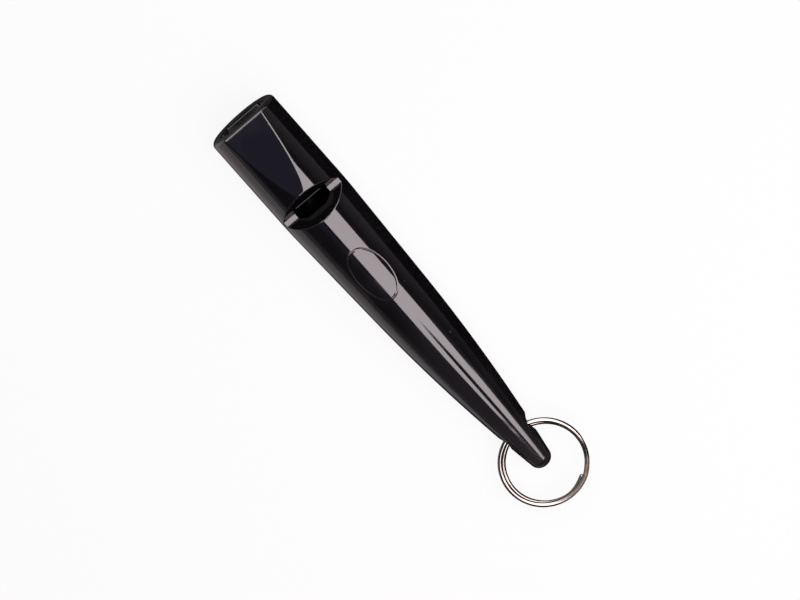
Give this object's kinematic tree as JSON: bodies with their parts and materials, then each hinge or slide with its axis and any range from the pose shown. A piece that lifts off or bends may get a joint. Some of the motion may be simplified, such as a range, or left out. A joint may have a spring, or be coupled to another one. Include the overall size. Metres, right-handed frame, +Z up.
{
  "type": "dog whistle",
  "caption": "Pealess dog whistle: tapering round plastic body with a flat-topped mouthpiece, a window notch, a windway plug inside and a split ring swinging in an eye through the tail.",
  "frame": {"origin": "middle of the underside of the whole part's box, on the table that the whistle lies on", "axes": "+X from the mouth end to the tail and the ring, +Z up through the window, +Y across; the body's axis dips 2.3 degrees towards the tail because the belly lies on the table"},
  "size_m": [0.0876, 0.016, 0.0135],
  "materials": {
    "body_plastic": "glossy black moulded plastic",
    "plug_plastic": "satin black moulded plastic",
    "ring_steel": "bright nickel-plated spring steel"
  },
  "bodies": {
    "whistle": {"whistle_body": "body_plastic", "windway_plug": "plug_plastic"},
    "ring": {"split_ring": "ring_steel"}
  },
  "joints": [
    {"name": "ring_swing", "type": "hinge", "parent": "whistle", "child": "ring", "pos_m": [0.02875, 0, 0.00453], "axis": [0, -1, 0], "range_deg": [-156, 156]}
  ]
}
